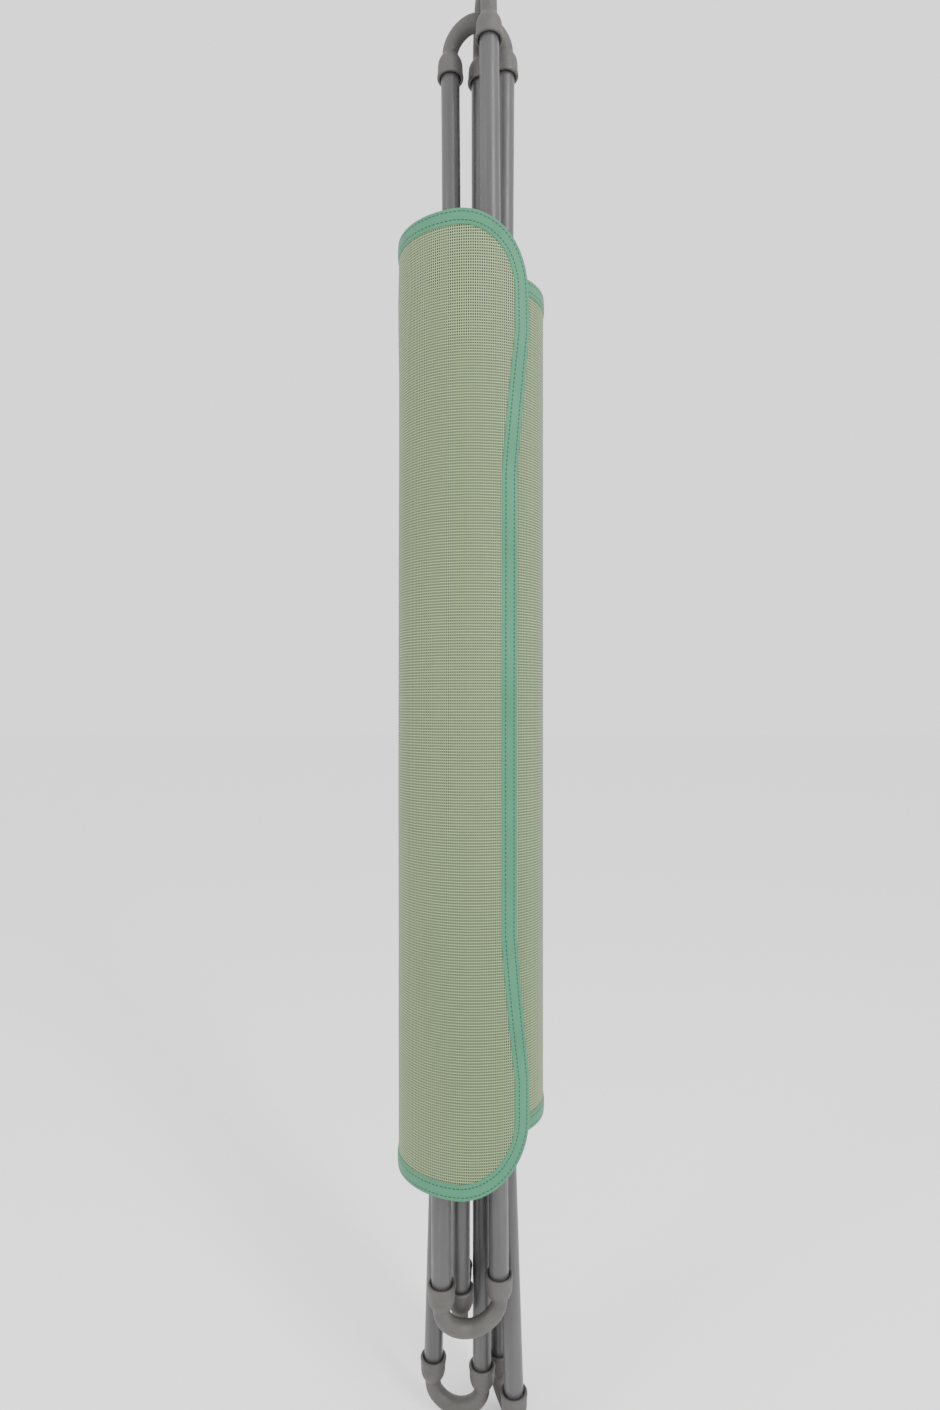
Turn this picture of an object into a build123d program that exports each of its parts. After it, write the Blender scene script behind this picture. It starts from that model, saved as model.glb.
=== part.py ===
# Folding camp chair, folded flat into a standing bundle, with its mesh sling wound round the frame.
# Millimetres, +Z up, origin on the floor under the middle of the bundle.
from build123d import *
import os
from math import cos, sin, radians

# Tube and rivet sizes
TUBE_D = 16.0
TUBE_WALL = 1.2
PIN_D = 6.0
PIN_CLEARANCE = 0.05
RIVET_HEAD_D = 10.0
RIVET_HEAD_H = 2.4
CROSSING_GAP = 2.0          # room between the two tubes of a crossing
FACE_CLEARANCE = 0.3

# Flexible connectors
SOCKET_WALL = 2.6
SOCKET_D = TUBE_D + 2 * SOCKET_WALL
SOCKET_LENGTH = 17.0
SOCKET_TAPER = 7.0
SOCKET_CLEARANCE = 0.08
TUBE_INSERTION = 14.0
NECK_D = 13.5
RIM_LIP = 0.5
ELBOW_SWELL = 0.25
FOOT_FLAT = 0.5             # depth of the worn flat under a rear foot

# Heights of the socket rims above the floor
REAR_LEFT_FOOT = 50.0
REAR_RIGHT_FOOT = 45.5
FRONT_LEFT_FOOT = 138.0
FRONT_RIGHT_FOOT = 156.0
REAR_LEFT_TOP = 1149.0
REAR_RIGHT_TOP = 1154.0
FRONT_LEFT_TOP = 908.0
FRONT_RIGHT_TOP = 882.0
CONNECTOR_REACH = 46.0      # rim to the outside of the bend
LONG_REACH = 66.0           # the connector that passes over another

# Each crossing: middle of its pin in plan, height, turn of the pin from the chair's own axes
FOLD_TURN = -80.0           # the chair's right-hand axis, turned about Z
SIDE_SPLAY = 11.0
LEFT_PIN = (-15.5, 18.5, 548.0)
RIGHT_PIN = (20.4, -16.2, 560.0)
FRONT_PIN = (-15.8, -22.5, 520.0)
REAR_PIN = (18.6, 18.2, 606.0)

# Sling, wound round the bundle
ROLL_MIDDLE = (1.7, 0.0, 616.0)
ROLL_WIDTH = 122.0
ROLL_DEPTH = 110.0
SLING_THICKNESS = 2.6
INNER_TURNS = 3.6           # thickness of the inner turns together
TURN_GAP = 0.4
INNER_HEIGHT = 676.0
FLAP_HEIGHT = 764.0
FLAP_CORNER = 58.0
FLAP_START = 60.0           # bearing where the outermost turn begins, at the back
FLAP_END = 308.0            # bearing of its free edge, at the front right
BINDING_WIDTH = 12.5
BINDING_THICKNESS = 3.4
POCKET_HEIGHT = 70.0
POCKET_ARC = 34.0
POCKET_THICKNESS = 1.6


def direction(degrees):
    return Vector(cos(radians(degrees)), sin(radians(degrees)), 0)


class Tube:
    """One straight tube: a point on its axis beside the pin, its lean, and the rims that it ends in."""

    def __init__(self, name, pin, pin_turn, side, lean, low, high):
        self.name = name
        self.pin = Vector(*pin)
        self.pin_axis = direction(pin_turn)
        run = direction(pin_turn + 90) if abs(pin_turn - FOLD_TURN) < 45 else direction(pin_turn - 90)
        self.on_axis = self.pin + self.pin_axis * side * (TUBE_D + CROSSING_GAP) / 2
        self.up = (run * lean + Vector(0, 0, 1000)).normalized()
        self.low, self.high = low, high

    def at(self, height):
        return self.on_axis + self.up * ((height - self.pin.Z) / self.up.Z)

    def solid(self):
        start = self.at(self.low) - self.up * TUBE_INSERTION
        length = (self.at(self.high) - self.at(self.low)).length + 2 * TUBE_INSERTION
        plane = Plane(origin=start, z_dir=self.up)
        outer = Cylinder(TUBE_D / 2, length, align=(Align.CENTER, Align.CENTER, Align.MIN))
        bore = Cylinder(TUBE_D / 2 - TUBE_WALL, length, align=(Align.CENTER, Align.CENTER, Align.MIN))
        hole = Cylinder(PIN_D / 2 + PIN_CLEARANCE, 2 * TUBE_D)
        return plane * (outer - bore) - Plane(origin=self.on_axis, z_dir=self.pin_axis) * hole


LEFT_TURN = FOLD_TURN + SIDE_SPLAY
RIGHT_TURN = FOLD_TURN - SIDE_SPLAY
ALONG_TURN = FOLD_TURN + 90

left_long = Tube("left_long_tube", LEFT_PIN, LEFT_TURN, 1, -8, FRONT_LEFT_FOOT, REAR_LEFT_TOP)
left_short = Tube("left_short_tube", LEFT_PIN, LEFT_TURN, -1, 28, REAR_LEFT_FOOT, FRONT_LEFT_TOP)
right_long = Tube("right_long_tube", RIGHT_PIN, RIGHT_TURN, 1, -8, FRONT_RIGHT_FOOT, REAR_RIGHT_TOP)
right_short = Tube("right_short_tube", RIGHT_PIN, RIGHT_TURN, -1, -31, REAR_RIGHT_FOOT, FRONT_RIGHT_TOP)
front_rising = Tube("front_rising_tube", FRONT_PIN, ALONG_TURN, 1, 16, FRONT_LEFT_FOOT, FRONT_RIGHT_TOP)
front_falling = Tube("front_falling_tube", FRONT_PIN, ALONG_TURN, -1, -32, FRONT_RIGHT_FOOT, FRONT_LEFT_TOP)
rear_rising = Tube("rear_rising_tube", REAR_PIN, ALONG_TURN, -1, -6, REAR_LEFT_FOOT, REAR_RIGHT_TOP)
rear_falling = Tube("rear_falling_tube", REAR_PIN, ALONG_TURN, 1, 25, REAR_RIGHT_FOOT, REAR_LEFT_TOP)
TUBES = [left_long, left_short, right_long, right_short,
         front_rising, front_falling, rear_rising, rear_falling]


def socket(rim, away):
    """A flared sleeve that a tube end pushes into, from its rim to the neck."""
    plane = Plane(origin=rim, z_dir=away)
    up = (Align.CENTER, Align.CENTER, Align.MIN)
    sleeve = Cylinder(SOCKET_D / 2, SOCKET_LENGTH, align=up)
    lip = Cone(SOCKET_D / 2 + RIM_LIP, SOCKET_D / 2, 4, align=up)
    taper = Pos(0, 0, SOCKET_LENGTH) * Cone(SOCKET_D / 2, NECK_D / 2, SOCKET_TAPER, align=up)
    bore = Cylinder(TUBE_D / 2 + SOCKET_CLEARANCE, TUBE_INSERTION + FACE_CLEARANCE, align=up)
    return plane * (sleeve + lip + taper - bore)


def connector(tube_a, tube_b, height, top, reach=CONNECTOR_REACH, bow=(0, 0), foot=False):
    """A flexible U that joins two tube ends; bow pushes its bend sideways, round a neighbour."""
    sign = 1 if top else -1
    rim_a, rim_b = tube_a.at(height), tube_b.at(height)
    away_a, away_b = tube_a.up * sign, tube_b.up * sign
    neck_a = rim_a + away_a * (SOCKET_LENGTH + SOCKET_TAPER - 1)
    neck_b = rim_b + away_b * (SOCKET_LENGTH + SOCKET_TAPER - 1)
    bend = reach - NECK_D / 2
    apex = (rim_a + rim_b) * 0.5 + (away_a + away_b).normalized() * bend + Vector(bow[0], bow[1], 0)
    path = ThreePointArc(neck_a, apex, neck_b)
    section = Plane(origin=neck_a, z_dir=path % 0) * Circle(NECK_D / 2)
    elbows = [Pos(*place) * Sphere(NECK_D / 2 + ELBOW_SWELL) for place in (neck_a, neck_b)]
    shape = socket(rim_a, away_a) + socket(rim_b, away_b) + elbows[0] + elbows[1] + sweep(section, path=path)
    for tube in (tube_a, tube_b):
        end = Plane(origin=tube.at(height) - tube.up * sign * 5, z_dir=tube.up * sign)
        clear = Cylinder(TUBE_D / 2 + SOCKET_CLEARANCE, 5 + TUBE_INSERTION + FACE_CLEARANCE,
                         align=(Align.CENTER, Align.CENTER, Align.MIN))
        shape = shape - end * clear
    if foot:
        floor = Box(200, 200, 20, align=(Align.CENTER, Align.CENTER, Align.MAX))
        shape = shape - Pos(0, 0, height - reach + FOOT_FLAT) * floor
    return shape


def rivet(pin, turn):
    """A plain pin with two low domed heads."""
    grip = 2 * TUBE_D + CROSSING_GAP + 2 * FACE_CLEARANCE
    shank = Cylinder(PIN_D / 2, grip)
    head = Cone(RIVET_HEAD_D / 2, PIN_D / 2, RIVET_HEAD_H, align=(Align.CENTER, Align.CENTER, Align.MIN))
    near = Pos(0, 0, grip / 2) * head
    far = Rot(180, 0, 0) * near
    return Plane(origin=Vector(*pin), z_dir=direction(turn)) * (shank + near + far)


def spacer(pin, turn):
    ring = Cylinder(TUBE_D * 0.4, CROSSING_GAP - 2 * FACE_CLEARANCE) - Cylinder(PIN_D / 2, TUBE_D)
    return Plane(origin=Vector(*pin), z_dir=direction(turn)) * ring


def oval(inset):
    return Ellipse(ROLL_WIDTH / 2 - inset, ROLL_DEPTH / 2 - inset)


def turn_of_sling(outer_inset, thickness, height):
    """One closed wall of the wound sling, centred on the roll's middle."""
    wall = oval(outer_inset) - oval(outer_inset + thickness)
    return Pos(*ROLL_MIDDLE) * extrude(wall, amount=height / 2, both=True)


def sector(start, end, height, bottom=0.0):
    """A wedge of space round the roll from one bearing to the other, to cut walls with."""
    far = 3 * ROLL_WIDTH
    steps = [start + (end - start) * i / 4 for i in range(5)]
    corners = [(0, 0)] + [(far * cos(radians(a)), far * sin(radians(a))) for a in steps]
    wedge = extrude(make_face(Polyline(*corners, close=True)), amount=height)
    return Pos(ROLL_MIDDLE[0], ROLL_MIDDLE[1], bottom) * wedge


FLAP_INSET = BINDING_THICKNESS - SLING_THICKNESS
INNER_INSET = FLAP_INSET + SLING_THICKNESS + TURN_GAP


def flap_outline(margin, height):
    """The free end's rounded outline seen from the front, as a block to cut the flap with."""
    edge = ROLL_MIDDLE[0] + ROLL_WIDTH / 2 * cos(radians(FLAP_END)) - margin
    width = 2 * ROLL_WIDTH
    face = RectangleRounded(width, height - 2 * margin, FLAP_CORNER - margin)
    block = extrude(Plane.XZ * face, amount=ROLL_DEPTH * 2)
    return Pos(edge - width / 2, ROLL_MIDDLE[1], ROLL_MIDDLE[2]) * block


def sling_flap():
    wall = turn_of_sling(FLAP_INSET, SLING_THICKNESS, FLAP_HEIGHT)
    back = turn_of_sling(FLAP_INSET, SLING_THICKNESS, FLAP_HEIGHT - 2 * BINDING_WIDTH)
    front = (wall & sector(180, FLAP_END + 20, 2000)) & flap_outline(BINDING_WIDTH, FLAP_HEIGHT)
    return front + (back & sector(FLAP_START, 180, 2000))


def flap_binding():
    wall = turn_of_sling(0, BINDING_THICKNESS, FLAP_HEIGHT) & sector(180, FLAP_END + 20, 2000)
    shape = (wall & flap_outline(0, FLAP_HEIGHT)) - flap_outline(BINDING_WIDTH, FLAP_HEIGHT)
    band = turn_of_sling(0, BINDING_THICKNESS, BINDING_WIDTH) & sector(FLAP_START, 180, 2000)
    for side in (-1, 1):
        shape = shape + Pos(0, 0, side * (FLAP_HEIGHT - BINDING_WIDTH) / 2) * band
    return shape


def inner_turns():
    return turn_of_sling(INNER_INSET, INNER_TURNS, INNER_HEIGHT - 2 * BINDING_WIDTH)


def inner_binding(top):
    ring = turn_of_sling(INNER_INSET - 0.3, INNER_TURNS + 0.6, BINDING_WIDTH)
    return Pos(0, 0, (1 if top else -1) * (INNER_HEIGHT - BINDING_WIDTH) / 2) * ring


def pocket(bearing, top):
    """A corner pocket patch, folded flat inside the innermost turn."""
    inset = INNER_INSET + INNER_TURNS + TURN_GAP
    wall = turn_of_sling(inset, POCKET_THICKNESS, POCKET_HEIGHT)
    wall = wall & sector(bearing - POCKET_ARC / 2, bearing + POCKET_ARC / 2, 2000)
    shift = (INNER_HEIGHT - POCKET_HEIGHT) / 2 - BINDING_WIDTH
    return Pos(0, 0, shift if top else -shift) * wall


def every_node():
    nodes = {tube.name: tube.solid() for tube in TUBES}
    nodes["foot_front_left"] = connector(left_long, front_rising, FRONT_LEFT_FOOT, False)
    nodes["foot_front_right"] = connector(right_long, front_falling, FRONT_RIGHT_FOOT, False)
    nodes["foot_rear_left"] = connector(left_short, rear_rising, REAR_LEFT_FOOT, False, foot=True)
    nodes["foot_rear_right"] = connector(right_short, rear_falling, REAR_RIGHT_FOOT, False, bow=(5, 0), foot=True)
    nodes["top_rear_left"] = connector(left_long, rear_falling, REAR_LEFT_TOP, True, bow=(0, -9))
    nodes["top_rear_right"] = connector(right_long, rear_rising, REAR_RIGHT_TOP, True, LONG_REACH)
    nodes["top_front_left"] = connector(left_short, front_falling, FRONT_LEFT_TOP, True, bow=(-18, 4))
    nodes["top_front_right"] = connector(right_short, front_rising, FRONT_RIGHT_TOP, True)
    crossings = {"left": (LEFT_PIN, LEFT_TURN), "right": (RIGHT_PIN, RIGHT_TURN),
                 "front": (FRONT_PIN, ALONG_TURN), "rear": (REAR_PIN, ALONG_TURN)}
    for name, (pin, turn) in crossings.items():
        nodes[f"{name}_rivet"] = rivet(pin, turn)
        nodes[f"{name}_spacer"] = spacer(pin, turn)
    nodes["sling_inner_turns"] = inner_turns()
    nodes["sling_inner_binding_top"] = inner_binding(True)
    nodes["sling_inner_binding_bottom"] = inner_binding(False)
    nodes["sling_flap"] = sling_flap()
    nodes["sling_flap_binding"] = flap_binding()
    nodes["pocket_upper_left"] = pocket(175, True)
    nodes["pocket_upper_right"] = pocket(0, True)
    nodes["pocket_lower_left"] = pocket(175, False)
    nodes["pocket_lower_right"] = pocket(0, False)
    return nodes


os.makedirs("parts", exist_ok=True)
for node_name, shape in every_node().items():
    export_step(shape, f"parts/{node_name}.step")
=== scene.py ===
from math import cos, sin, pi, radians, sqrt

import bpy
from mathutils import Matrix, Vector, noise


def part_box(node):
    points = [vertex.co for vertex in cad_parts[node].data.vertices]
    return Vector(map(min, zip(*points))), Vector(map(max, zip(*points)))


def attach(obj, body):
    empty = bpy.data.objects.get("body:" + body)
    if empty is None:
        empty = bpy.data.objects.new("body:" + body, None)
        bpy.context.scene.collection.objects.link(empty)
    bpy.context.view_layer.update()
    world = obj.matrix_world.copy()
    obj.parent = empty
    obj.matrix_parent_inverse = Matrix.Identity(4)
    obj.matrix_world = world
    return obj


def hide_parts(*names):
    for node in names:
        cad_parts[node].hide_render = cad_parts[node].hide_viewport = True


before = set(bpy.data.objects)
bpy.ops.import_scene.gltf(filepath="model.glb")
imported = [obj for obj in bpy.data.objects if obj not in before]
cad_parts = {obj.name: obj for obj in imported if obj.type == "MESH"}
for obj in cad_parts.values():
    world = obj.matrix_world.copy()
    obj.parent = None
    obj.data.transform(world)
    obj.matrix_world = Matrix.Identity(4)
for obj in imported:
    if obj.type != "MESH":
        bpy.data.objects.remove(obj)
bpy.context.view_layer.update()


# The eight frame tubes are straight lengths of thin-walled steel tube, cut, drilled for a rivet
# and powder coated in satin grey. They are riveted in crossing pairs and pushed into the
# connectors. Their shapes come from the frame as they are, so they take their finish alone.
TUBE_DARK = (0.056, 0.055, 0.057)
TUBE_PALE = (0.075, 0.073, 0.075)
NOISE_LOW = 0.3
NOISE_HIGH = 0.7


def new_material(name, **values):
    """A material whose shader starts from these values."""
    material = bpy.data.materials.new(name)
    material.use_nodes = True
    shader = material.node_tree.nodes["Principled BSDF"]
    for key, value in values.items():
        shader.inputs[key.replace("_", " ")].default_value = value
    return material, material.node_tree, shader


def add_node(tree, kind, **values):
    node = tree.nodes.new(kind)
    for key, value in values.items():
        node.inputs[key.replace("_", " ")].default_value = value
    return node


def mix_colours(tree, factor, first, second):
    node = tree.nodes.new("ShaderNodeMix")
    node.data_type = "RGBA"
    for socket, value in ((node.inputs[0], factor), (node.inputs[6], first), (node.inputs[7], second)):
        if hasattr(value, "is_output"):
            tree.links.new(value, socket)
        else:
            socket.default_value = (*value, 1)
    return node.outputs[2]


def object_noise(tree, scale, detail, stretch=(1, 1, 1)):
    """Cloudy noise that stays with the piece, stretched along X, Y and Z."""
    place = tree.nodes.new("ShaderNodeTexCoord")
    mapping = add_node(tree, "ShaderNodeMapping", Scale=stretch)
    tree.links.new(place.outputs["Object"], mapping.inputs["Vector"])
    cloud = add_node(tree, "ShaderNodeTexNoise", Scale=scale, Detail=detail)
    tree.links.new(mapping.outputs[0], cloud.inputs["Vector"])
    return cloud.outputs[0]


def remap(tree, value, low, high):
    """Spread the noise's usual range over low to high."""
    node = add_node(tree, "ShaderNodeMapRange", From_Min=NOISE_LOW, From_Max=NOISE_HIGH,
                    To_Min=low, To_Max=high)
    tree.links.new(value, node.inputs["Value"])
    return node.outputs[0]


def add_bump(tree, shader, height, strength, distance):
    bump = add_node(tree, "ShaderNodeBump", Strength=strength, Distance=distance)
    tree.links.new(height, bump.inputs["Height"])
    tree.links.new(bump.outputs[0], shader.inputs["Normal"])


def tube_finish():
    """Satin powder coat: fine orange peel, and soft handling marks along the tube."""
    material, tree, shader = new_material("tube_coat", Metallic=0.25)
    marks = object_noise(tree, 26, 5, (6, 6, 0.4))
    tone = mix_colours(tree, remap(tree, marks, 0.0, 1.0), TUBE_DARK, TUBE_PALE)
    tree.links.new(tone, shader.inputs["Base Color"])
    tree.links.new(remap(tree, object_noise(tree, 60, 4), 0.33, 0.46), shader.inputs["Roughness"])
    add_bump(tree, shader, object_noise(tree, 900, 2), 0.12, 0.0004)
    return material


def dress(marking, material):
    """Give the finish to every node of the frame with this marking in its name."""
    for node in sorted(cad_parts):
        if marking not in node:
            continue
        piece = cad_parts[node]
        if not piece.material_slots:
            piece.data.materials.append(material)
        for place in piece.material_slots:
            place.material = material


dress("_tube", tube_finish())


# The four rivets are plain steel pins, headed at both ends. One holds the two tubes of each
# crossing together, and they turn on it.
STEEL_COLOUR = (0.56, 0.56, 0.57, 1)


def steel_finish():
    material, tree, shader = new_material("rivet_steel", Base_Color=STEEL_COLOUR, Metallic=1.0)
    tree.links.new(remap(tree, object_noise(tree, 300, 4), 0.25, 0.5), shader.inputs["Roughness"])
    add_bump(tree, shader, object_noise(tree, 700, 2), 0.1, 0.0002)
    return material


dress("_rivet", steel_finish())


# The four spacers are small black plastic washers on the rivets. Each sits between the two
# tubes of its crossing, and keeps their coats from rubbing.
SPACER_COLOUR = (0.03, 0.03, 0.03, 1)


def spacer_finish():
    material, tree, shader = new_material("spacer_plastic", Base_Color=SPACER_COLOUR, Roughness=0.5)
    add_bump(tree, shader, object_noise(tree, 1200, 2), 0.15, 0.0002)
    return material


dress("_spacer", spacer_finish())


# The four corner pockets are patches of dense woven fabric, sewn to the sling. They hang on the
# frame's tops when the chair stands open, and lie folded inside the roll when it is packed.
PATCH_DARK = (0.12, 0.32, 0.22)
PATCH_PALE = (0.17, 0.41, 0.29)


def patch_finish():
    material, tree, shader = new_material("pocket_patch", Roughness=0.75)
    weave = object_noise(tree, 500, 2)
    tree.links.new(mix_colours(tree, weave, PATCH_DARK, PATCH_PALE), shader.inputs["Base Color"])
    add_bump(tree, shader, weave, 0.3, 0.0004)
    return material


dress("pocket_", patch_finish())


# The eight connectors are flexible grey mouldings, pushed over the ends of two tubes. Each is a U
# of two flared sockets with rolled rims, joined by a round neck that bends over. It is made as
# two halves that meet at the top of the bend, so that each half goes with its own tube.
MOULDING_DARK = (0.048, 0.046, 0.042)
MOULDING_PALE = (0.064, 0.061, 0.056)
TUBE_INSERTION = 0.014
END_DEPTH = 0.0012
NECK_START = 0.0205
NECK_RADIUS = 0.00675
BEND_STEPS = 14
BEND_PULL = 1.1
AROUND = 40
PATTERN_RINGS = 40
PROFILE = [  # distance past the rim, radius: bore first, then the rolled rim, sleeve and taper
    (0.0060, 0.0081), (0.0010, 0.0082), (0.0000, 0.0087), (-0.0006, 0.0096), (-0.0005, 0.0107),
    (0.0004, 0.0113), (0.0018, 0.01135), (0.0034, 0.0110), (0.0065, 0.0108), (0.0105, 0.01065),
    (0.0130, 0.0103), (0.0150, 0.0096), (0.0168, 0.0086), (0.0182, 0.0077), (0.0194, 0.0071)]
CAP = [0.35, 0.65, 0.88, 0.985]  # shares of the neck's radius, out to the round end of a half
REACH = 0.046
LONG_REACH = 0.066
CONNECTORS = {  # its two tubes, whether it is at the top, how far it reaches, how far it bows
    "foot_front_left": ("left_long", "front_rising", False, REACH, (0, 0)),
    "foot_front_right": ("right_long", "front_falling", False, REACH, (0, 0)),
    "foot_rear_left": ("left_short", "rear_rising", False, REACH, (0, 0)),
    "foot_rear_right": ("right_short", "rear_falling", False, REACH, (0.005, 0)),
    "top_rear_left": ("left_long", "rear_falling", True, REACH, (0, -0.009)),
    "top_rear_right": ("right_long", "rear_rising", True, LONG_REACH, (0, 0)),
    "top_front_left": ("left_short", "front_falling", True, REACH, (-0.018, 0.004)),
    "top_front_right": ("right_short", "front_rising", True, REACH, (0, 0))}


def connector_finish():
    """Matte moulding: fine grain, and a paler bloom where it is handled."""
    material, tree, shader = new_material("connector_moulding")
    bloom = remap(tree, object_noise(tree, 45, 4), 0.0, 1.0)
    tone = mix_colours(tree, bloom, MOULDING_DARK, MOULDING_PALE)
    tree.links.new(tone, shader.inputs["Base Color"])
    tree.links.new(remap(tree, object_noise(tree, 80, 3), 0.5, 0.68), shader.inputs["Roughness"])
    add_bump(tree, shader, object_noise(tree, 1500, 2), 0.18, 0.0003)
    return material


def mesh_piece(name, points, faces, uvs, material):
    """A piece from points, faces and one UV pair for each face corner, in face order."""
    data = bpy.data.meshes.new(name)
    data.from_pydata(points, [], faces)
    layer = data.uv_layers.new(name="cloth")
    for place, uv in zip(layer.data, uvs):
        place.uv = uv
    data.polygons.foreach_set("use_smooth", [True] * len(data.polygons))
    data.materials.append(material)
    data.update()
    piece = bpy.data.objects.new(name, data)
    bpy.context.scene.collection.objects.link(piece)
    return piece


def tube_axis(tube):
    """The lowest and highest points of a tube's axis."""
    corners = [corner.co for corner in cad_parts[tube].data.vertices]
    low = min(corner.z for corner in corners)
    high = max(corner.z for corner in corners)
    lower_ring = [corner for corner in corners if corner.z < low + END_DEPTH]
    upper_ring = [corner for corner in corners if corner.z > high - END_DEPTH]
    ends = []
    for ring in (lower_ring, upper_ring):
        spans = [[corner[i] for corner in ring] for i in range(3)]
        ends.append(Vector([(min(span) + max(span)) / 2 for span in spans]))
    return ends


def bend_line(start, away, apex, across):
    """A smooth line from a socket's neck up to the middle of the bend."""
    pull = (apex - start).length * BEND_PULL
    line = []
    for k in range(BEND_STEPS + 1):
        t = k / BEND_STEPS
        from_start = 2 * t ** 3 - 3 * t ** 2 + 1
        from_away = t ** 3 - 2 * t ** 2 + t
        to_apex = -2 * t ** 3 + 3 * t ** 2
        to_across = t ** 3 - t ** 2
        line.append(start * from_start + away * pull * from_away + apex * to_apex + across * pull * to_across)
    return line


def connector_half(name, rim, away, apex, across, body):
    bend = bend_line(rim + away * NECK_START, away, apex, across)
    line = [rim + away * distance for distance, _ in PROFILE] + bend
    line += [apex + across * NECK_RADIUS * share for share in CAP]
    radii = [radius for _, radius in PROFILE] + [NECK_RADIUS] * len(bend)
    radii += [NECK_RADIUS * sqrt(1 - share * share) for share in CAP]
    points, faces, uvs = [], [], []
    side = away.orthogonal().normalized()
    for i, centre in enumerate(line):
        if i < len(PROFILE):
            tangent = away
        else:
            tangent = (line[min(i + 1, len(line) - 1)] - line[i - 1]).normalized()
        side = (side - tangent * side.dot(tangent)).normalized()
        other = tangent.cross(side)
        for k in range(AROUND):
            turn = 2 * pi * k / AROUND
            points.append(centre + (side * cos(turn) + other * sin(turn)) * radii[i])
    for i in range(len(line) - 1):
        for k in range(AROUND):
            m = (k + 1) % AROUND
            faces.append((i * AROUND + k, i * AROUND + m, (i + 1) * AROUND + m, (i + 1) * AROUND + k))
            left, right = k / AROUND, (k + 1) / AROUND
            near, far = i / PATTERN_RINGS, (i + 1) / PATTERN_RINGS
            uvs += [(left, near), (right, near), (right, far), (left, far)]
    last = (len(line) - 1) * AROUND
    faces.append(tuple(last + k for k in range(AROUND)))
    faces.append(tuple(reversed(range(AROUND))))
    uvs += [(0.0, 0.0)] * (2 * AROUND)
    piece = mesh_piece(name, points, faces, uvs, moulding)
    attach(piece, body)
    return piece


moulding = connector_finish()
for node, (first, second, top, reach, bow) in CONNECTORS.items():
    rims, aways = [], []
    for tube in (first, second):
        low, high = tube_axis(tube + "_tube")
        up = (high - low).normalized()
        away = up if top else -up
        end = high if top else low
        rims.append(end - away * TUBE_INSERTION)
        aways.append(away)
    middle = (rims[0] + rims[1]) / 2
    apex = middle + (aways[0] + aways[1]).normalized() * (reach - NECK_RADIUS) + Vector((*bow, 0))
    across = (rims[1] - rims[0]).normalized()
    carrying = connector_half(f"{node}_{first}_half", rims[0], aways[0], apex, across, first)
    connector_half(f"{node}_{second}_half", rims[1], aways[1], apex, -across, second)
    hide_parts(node)


# The sling is one sheet of open coated mesh, woven in sage green. It is wound two and a half turns
# round the folded frame with its wide head end outermost, and its free edge is cut slightly
# hollow between two rounded corners.
THREAD_DARK = (0.2, 0.275, 0.12)
THREAD_PALE = (0.25, 0.325, 0.15)
THREAD_UPRIGHT = (0.16, 0.26, 0.11)
# The holes' colour is painted shade: the dark inside of the roll, seen through the open mesh.
PAINTED_HOLE_SHADE = (0.008, 0.015, 0.007)
ACROSS_PITCH = 0.0017
UP_PITCH = 0.0022
HOLE_BELOW = 0.78
flap_low, flap_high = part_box("sling_flap_binding")
roll_low, roll_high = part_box("sling_inner_turns")
ROLL_CLEARANCE = 0.0036
CENTRE = Vector((
    (roll_low[0] + roll_high[0]) / 2,
    (roll_low[1] + roll_high[1]) / 2,
    (flap_low[2] + flap_high[2]) / 2))
HALF_WIDTH = (roll_high[0] - roll_low[0]) / 2 + ROLL_CLEARANCE
HALF_DEPTH = (roll_high[1] - roll_low[1]) / 2 + ROLL_CLEARANCE
HALF_TALL = (flap_high[2] - flap_low[2]) / 2
INNER_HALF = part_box("sling_inner_binding_top")[1][2] - CENTRE[2]
CLOTH = 0.0016
TURN_STEP = 0.0031
FREE_EDGE_BEARING = radians(314)
# Along the sheet from its free edge: where the wide head end narrows, where the seat panel starts
# and ends, and where the sheet ends, at this half height.
SHOULDER = 0.13
PANEL_START = 0.25
PANEL_END = 0.40
SHEET_LENGTH = 0.90
TAPER_END_HALF = 0.27
CORNER = 0.058
CORNER_STEPS = 14
SHEET_STEPS = 210
SHEET_ROWS = 150
EDGE_INSET = 0.0015
# The free edge's hollow: its depth, how far from the top it starts, how fast it reaches its depth,
# and how far in it fades out.
HOLLOW = 0.011
HOLLOW_END = 0.09
HOLLOW_RISE = 1.6
HOLLOW_FADE = 0.12
# The outer turn is loose for this length, with low ripples and a slanting pull near each end, and
# its free edge stands off a little.
LOOSE_LENGTH = 0.30
RIPPLE = 0.0011
RIPPLE_BIAS = 0.35
PULL_HEIGHT = 0.335
PULL_SPREAD = 0.07
PULL_WAVE = 34
EDGE_LIFT = 0.0018
EDGE_LIFT_LENGTH = 0.035
DEEPEST_DIP = -0.0003
AREA_STRIPS = 900


def calculate(tree, operation, first, second=0.0, third=None):
    node = tree.nodes.new("ShaderNodeMath")
    node.operation = operation
    for socket, value in zip(node.inputs, (first, second, third)):
        if value is None:
            continue
        if hasattr(value, "is_output"):
            tree.links.new(value, socket)
        else:
            socket.default_value = value
    return node.outputs[0]


def sheet_place(tree):
    """The place on the flat sheet or tape, in metres: along it and across it."""
    place = tree.nodes.new("ShaderNodeUVMap")
    split = tree.nodes.new("ShaderNodeSeparateXYZ")
    tree.links.new(place.outputs[0], split.inputs[0])
    return split.outputs[0], split.outputs[1]


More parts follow.
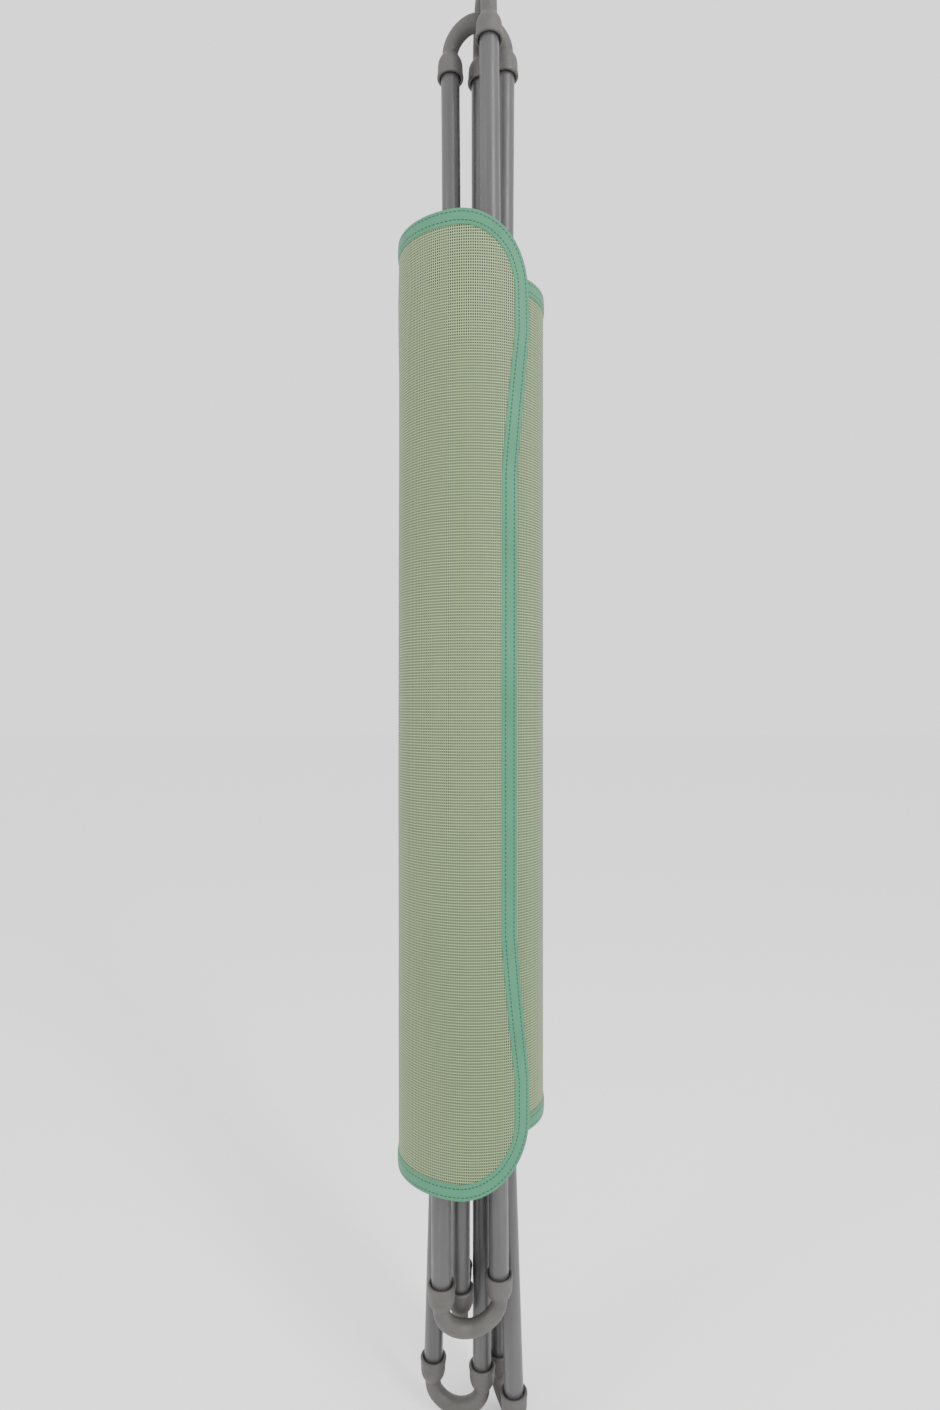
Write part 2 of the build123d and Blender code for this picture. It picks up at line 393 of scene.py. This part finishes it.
def mesh_finish():
    """Pale threads that cross, square holes filled with painted shade, and slow changes of tone."""
    material, tree, shader = new_material("mesh_cloth", Roughness=0.6, Sheen_Weight=0.04)
    waves = []
    for place, pitch in zip(sheet_place(tree), (ACROSS_PITCH, UP_PITCH)):
        wave = calculate(tree, "COSINE", calculate(tree, "MULTIPLY", place, 2 * pi / pitch))
        waves.append(calculate(tree, "MULTIPLY_ADD", wave, 0.5, 0.5))
    thread = calculate(tree, "MAXIMUM", waves[0], waves[1])
    hole_shade = calculate(tree, "LESS_THAN", thread, HOLE_BELOW)
    drift = remap(tree, object_noise(tree, 7, 3, (1, 1, 0.5)), 0.0, 1.0)
    pale = mix_colours(tree, drift, THREAD_DARK, THREAD_PALE)
    upright = calculate(tree, "MULTIPLY", calculate(tree, "GREATER_THAN", waves[0], waves[1]), 0.4)
    threads = mix_colours(tree, upright, pale, THREAD_UPRIGHT)
    # Where the weave is open, painted shade stands for the dark roll seen through the holes.
    tree.links.new(mix_colours(tree, hole_shade, threads, PAINTED_HOLE_SHADE), shader.inputs["Base Color"])
    add_bump(tree, shader, thread, 0.5, 0.0005)
    return material


def spiral_bearings():
    """Bearing and inset at each millimetre of the sheet, from the free edge inwards."""
    table, turned = [], 0.0
    for _ in range(int(SHEET_LENGTH * 1000) + 40):
        inset = TURN_STEP * turned / (2 * pi)
        angle = FREE_EDGE_BEARING - turned
        table.append((angle, inset))
        wide, deep = HALF_WIDTH - inset, HALF_DEPTH - inset
        turned += 0.001 / sqrt((wide * sin(angle)) ** 2 + (deep * cos(angle)) ** 2)
    return table


SPIRAL = spiral_bearings()


def on_sheet(along, height, lift):
    """A point of the wound sheet: along it from the free edge, up it, and off its inner face."""
    place = max(0.0, along * 1000)
    k = min(int(place), len(SPIRAL) - 2)
    part = place - k
    angle = SPIRAL[k][0] * (1 - part) + SPIRAL[k + 1][0] * part
    inset = SPIRAL[k][1] * (1 - part) + SPIRAL[k + 1][1] * part
    loose = max(0.0, 1 - along / LOOSE_LENGTH)
    ripple = noise.noise(Vector((along * 9, height * 3.2, 4.0)))
    ripple += 0.5 * noise.noise(Vector((along * 24, height * 7, 9.0)))
    near_end = max(0.0, 1 - abs(height - PULL_HEIGHT) / PULL_SPREAD)
    pull = RIPPLE * sin((along * 0.8 + height) * PULL_WAVE) * near_end
    edge = EDGE_LIFT * max(0.0, 1 - along / EDGE_LIFT_LENGTH)
    off = lift + max(DEEPEST_DIP, loose * (RIPPLE * (ripple + RIPPLE_BIAS) + pull) + edge)
    wide, deep = HALF_WIDTH - inset, HALF_DEPTH - inset
    normal = Vector((cos(angle) * deep, sin(angle) * wide, 0)).normalized()
    x, y = CENTRE[0] + wide * cos(angle), CENTRE[1] + deep * sin(angle)
    return Vector((x, y, CENTRE[2] + height)) + normal * off


def half_height(along):
    """Half the sheet's height where it is this far from its free edge."""
    if along < SHOULDER:
        tall = HALF_TALL
    elif along < PANEL_START:
        share = (along - SHOULDER) / (PANEL_START - SHOULDER)
        tall = HALF_TALL - (HALF_TALL - INNER_HALF) * share * share * (3 - 2 * share)
    elif along < PANEL_END:
        tall = INNER_HALF
    else:
        tall = INNER_HALF - (INNER_HALF - TAPER_END_HALF) * (along - PANEL_END) / (SHEET_LENGTH - PANEL_END)
    if along < CORNER:
        tall -= CORNER - sqrt(max(0.0, CORNER ** 2 - (CORNER - along) ** 2))
    return tall


def hollow(along, height):
    """How far the cut curves in from the straight free edge."""
    share = max(0.0, 1 - (height / (HALF_TALL - HOLLOW_END)) ** 2)
    return HOLLOW * min(1.0, share * HOLLOW_RISE) * max(0.0, 1 - along / HOLLOW_FADE)


def sheet_columns():
    """Distances from the free edge: close together in the corners, then even."""
    near = [CORNER * (1 - cos(pi / 2 * k / CORNER_STEPS)) for k in range(CORNER_STEPS + 1)]
    return near + [CORNER + (SHEET_LENGTH - CORNER) * k / SHEET_STEPS for k in range(1, SHEET_STEPS + 1)]


def cloth_sheet():
    columns = sheet_columns()
    points, faces, uvs, flat = [], [], [], []
    for lift in (CLOTH, 0.0):
        for along in columns:
            tall = half_height(along) - EDGE_INSET
            for j in range(SHEET_ROWS + 1):
                height = tall * (2 * j / SHEET_ROWS - 1)
                place = along + hollow(along, height) + EDGE_INSET
                points.append(on_sheet(place, height, lift))
                flat.append((place, height))
    wide = SHEET_ROWS + 1
    layer = len(columns) * wide

    def face(*corners):
        faces.append(corners)
        uvs.extend(flat[corner] for corner in corners)

    for i in range(len(columns) - 1):
        for j in range(SHEET_ROWS):
            a, b = i * wide + j, (i + 1) * wide + j
            face(b, a, a + 1, b + 1)
            face(layer + a, layer + b, layer + b + 1, layer + a + 1)
    for i in range(len(columns) - 1):
        foot, foot_next = i * wide, (i + 1) * wide
        head, head_next = foot + SHEET_ROWS, foot_next + SHEET_ROWS
        face(foot_next, layer + foot_next, layer + foot, foot)
        face(head, layer + head, layer + head_next, head_next)
    last = (len(columns) - 1) * wide
    for a in range(SHEET_ROWS):
        b = last + a
        face(a, layer + a, layer + a + 1, a + 1)
        face(b + 1, layer + b + 1, layer + b, b)
    return mesh_piece("sling_cloth", points, faces, uvs, mesh_finish())


cloth = cloth_sheet()
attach(cloth, "sling")
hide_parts("sling_flap", "sling_inner_turns")


# The binding is one mint woven tape, folded over the sheet's edge and sewn down with two rows of
# teal stitches. It goes up the free edge, round both corners and along the top and bottom of
# every turn, as a soft flattened band that is a little fuller than the cloth.
TAPE_DARK = (0.024, 0.15, 0.072)
TAPE_PALE = (0.036, 0.19, 0.098)
RIB_COLOUR = (0.02, 0.11, 0.06)
STITCH_COLOUR = (0.004, 0.03, 0.024)
STITCH_PITCH = 0.0034
STITCH_SHARE = 0.62
STITCH_ROWS = (0.0028, 0.0095)
STITCH_HALF_WIDTH = 0.00045
RIB_PITCH = 0.0011
BINDING_WIDTH = 0.0125
TAPE_RISE = 0.0009
TAPE_BACK = -0.0004
TAPE_STEPS = 14
FREE_EDGE_STEPS = 120


def binding_finish():
    """Woven tape with a fine rib, and two rows of dashed stitches sunk into it."""
    material, tree, shader = new_material("binding_tape", Roughness=0.7, Sheen_Weight=0.06)
    along, across = sheet_place(tree)
    step = calculate(tree, "FRACT", calculate(tree, "DIVIDE", along, STITCH_PITCH))
    dash = calculate(tree, "LESS_THAN", step, STITCH_SHARE)
    lines = []
    for row in STITCH_ROWS:
        away = calculate(tree, "ABSOLUTE", calculate(tree, "SUBTRACT", across, row))
        lines.append(calculate(tree, "LESS_THAN", away, STITCH_HALF_WIDTH))
    rows = calculate(tree, "MAXIMUM", *lines)
    stitch = calculate(tree, "MULTIPLY", rows, dash)
    rib = calculate(tree, "SINE", calculate(tree, "MULTIPLY", along, 2 * pi / RIB_PITCH))
    drift = remap(tree, object_noise(tree, 18, 3), 0.0, 1.0)
    base = mix_colours(tree, drift, TAPE_DARK, TAPE_PALE)
    ribbed = mix_colours(tree, calculate(tree, "MULTIPLY_ADD", rib, 0.12, 0.12), base, RIB_COLOUR)
    tree.links.new(mix_colours(tree, stitch, ribbed, STITCH_COLOUR), shader.inputs["Base Color"])
    raised = calculate(tree, "MULTIPLY_ADD", rib, 0.15, calculate(tree, "MULTIPLY", rows, -1.0))
    add_bump(tree, shader, raised, 0.6, 0.0006)
    return material


def edge_outline():
    """The sheet's edge as points along it and up it, from the inner end's foot round to its top."""
    lower = [(along, -half_height(along)) for along in sheet_columns()]
    lower = [(along + hollow(along, height), height) for along, height in lower]
    reach = HALF_TALL - CORNER
    rise = [-reach + 2 * reach * k / FREE_EDGE_STEPS for k in range(1, FREE_EDGE_STEPS)]
    free = [(hollow(0, height), height) for height in rise]
    upper = [(along, -height) for along, height in lower]
    return lower[::-1] + free + upper


def tape_section():
    """The tape's section: across it from the folded edge, and off the cloth's inner face."""
    section = []
    for k in range(TAPE_STEPS + 1):
        bulge = 0.35 + 0.65 * sqrt(sin(pi * (k + 0.6) / (TAPE_STEPS + 1)))
        section.append((BINDING_WIDTH * (k / TAPE_STEPS), CLOTH + TAPE_RISE * bulge))
    for k in range(TAPE_STEPS, -1, -3):
        section.append((BINDING_WIDTH * (k / TAPE_STEPS), TAPE_BACK))
    return section


def binding_tape():
    outline, section = edge_outline(), tape_section()
    points, faces, uvs, lengths = [], [], [], []
    travelled = 0.0
    for i, (along, height) in enumerate(outline):
        before, after = outline[max(i - 1, 0)], outline[min(i + 1, len(outline) - 1)]
        if i:
            travelled += sqrt((along - before[0]) ** 2 + (height - before[1]) ** 2)
        lengths.append(travelled)
        step = Vector((after[0] - before[0], after[1] - before[1])).normalized()
        inward = Vector((step[1], -step[0]))
        for width, lift in section:
            points.append(on_sheet(along + inward[0] * width, height + inward[1] * width, lift))
    ring = len(section)
    for i in range(len(outline) - 1):
        for k in range(ring):
            m = (k + 1) % ring
            corners = ((i, k), (i + 1, k), (i + 1, m), (i, m))
            faces.append(tuple(a * ring + b for a, b in corners))
            uvs += [(lengths[a], section[b][0]) for a, b in corners]
    faces.append(tuple(range(ring)))
    faces.append(tuple((len(outline) - 1) * ring + k for k in reversed(range(ring))))
    uvs += [(0.0, 0.0)] * (2 * ring)
    return mesh_piece("sling_binding", points, faces, uvs, binding_finish())


tape = binding_tape()
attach(tape, "sling")
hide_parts("sling_flap_binding", "sling_inner_binding_top", "sling_inner_binding_bottom")

strip = SHEET_LENGTH / AREA_STRIPS
cut_area = sum(2 * half_height(strip * (k + 0.5)) * strip for k in range(AREA_STRIPS))


# The chair stands on a plain pale floor in a white surround. Two large soft lamps light it, the
# stronger one from the right.
FLOOR_COLOUR = (0.96, 0.96, 0.96, 1)
FLOOR_SIZE = 30
FLOOR_HEIGHT = -0.0005
SURROUND_STRENGTH = 1.6
LAMPS_AIM = Vector((0, 0, 0.6))
LAMPS = {  # place, width and height, power
    "key_right": ((1.0, -1.3, 1.3), (0.3, 1.8), 30.0),
    "fill_left": ((-1.4, -1.0, 1.1), (0.5, 1.6), 12.0)}

bpy.ops.object.select_all(action="DESELECT")
bpy.ops.mesh.primitive_plane_add(size=FLOOR_SIZE, location=(0, 0, FLOOR_HEIGHT))
floor = bpy.context.object
floor.name = "floor"
material, tree, shader = new_material("floor_pale", Base_Color=FLOOR_COLOUR, Roughness=1.0)
add_bump(tree, shader, object_noise(tree, 30, 2), 0.02, 0.0005)
floor.data.materials.append(material)

surround = bpy.data.worlds.new("studio")
surround.use_nodes = True
surround.node_tree.nodes["Background"].inputs[0].default_value = (1, 1, 1, 1)
surround.node_tree.nodes["Background"].inputs[1].default_value = SURROUND_STRENGTH
bpy.context.scene.world = surround

for name, (place, (wide, tall), power) in LAMPS.items():
    lamp = bpy.data.lights.new(name, "AREA")
    lamp.shape = "RECTANGLE"
    lamp.size, lamp.size_y, lamp.energy = wide, tall, power
    holder = bpy.data.objects.new(name, lamp)
    holder.location = place
    holder.rotation_euler = (LAMPS_AIM - Vector(place)).to_track_quat("-Z", "Y").to_euler()
    bpy.context.scene.collection.objects.link(holder)


# The camera stands close in front of the bundle, level with its middle, with a wide lens.
CAMERA_PLACE = (0, -0.646, 0.616)
LENS_LENGTH = 19.6
SENSOR_WIDTH = 36
NEAREST = 0.01

lens = bpy.data.cameras.new("camera")
lens.lens = LENS_LENGTH
lens.sensor_width = SENSOR_WIDTH
lens.clip_start = NEAREST
camera = bpy.data.objects.new("camera", lens)
camera.location = CAMERA_PLACE
camera.rotation_euler = (radians(90), 0, 0)
bpy.context.scene.collection.objects.link(camera)
bpy.context.scene.camera = camera
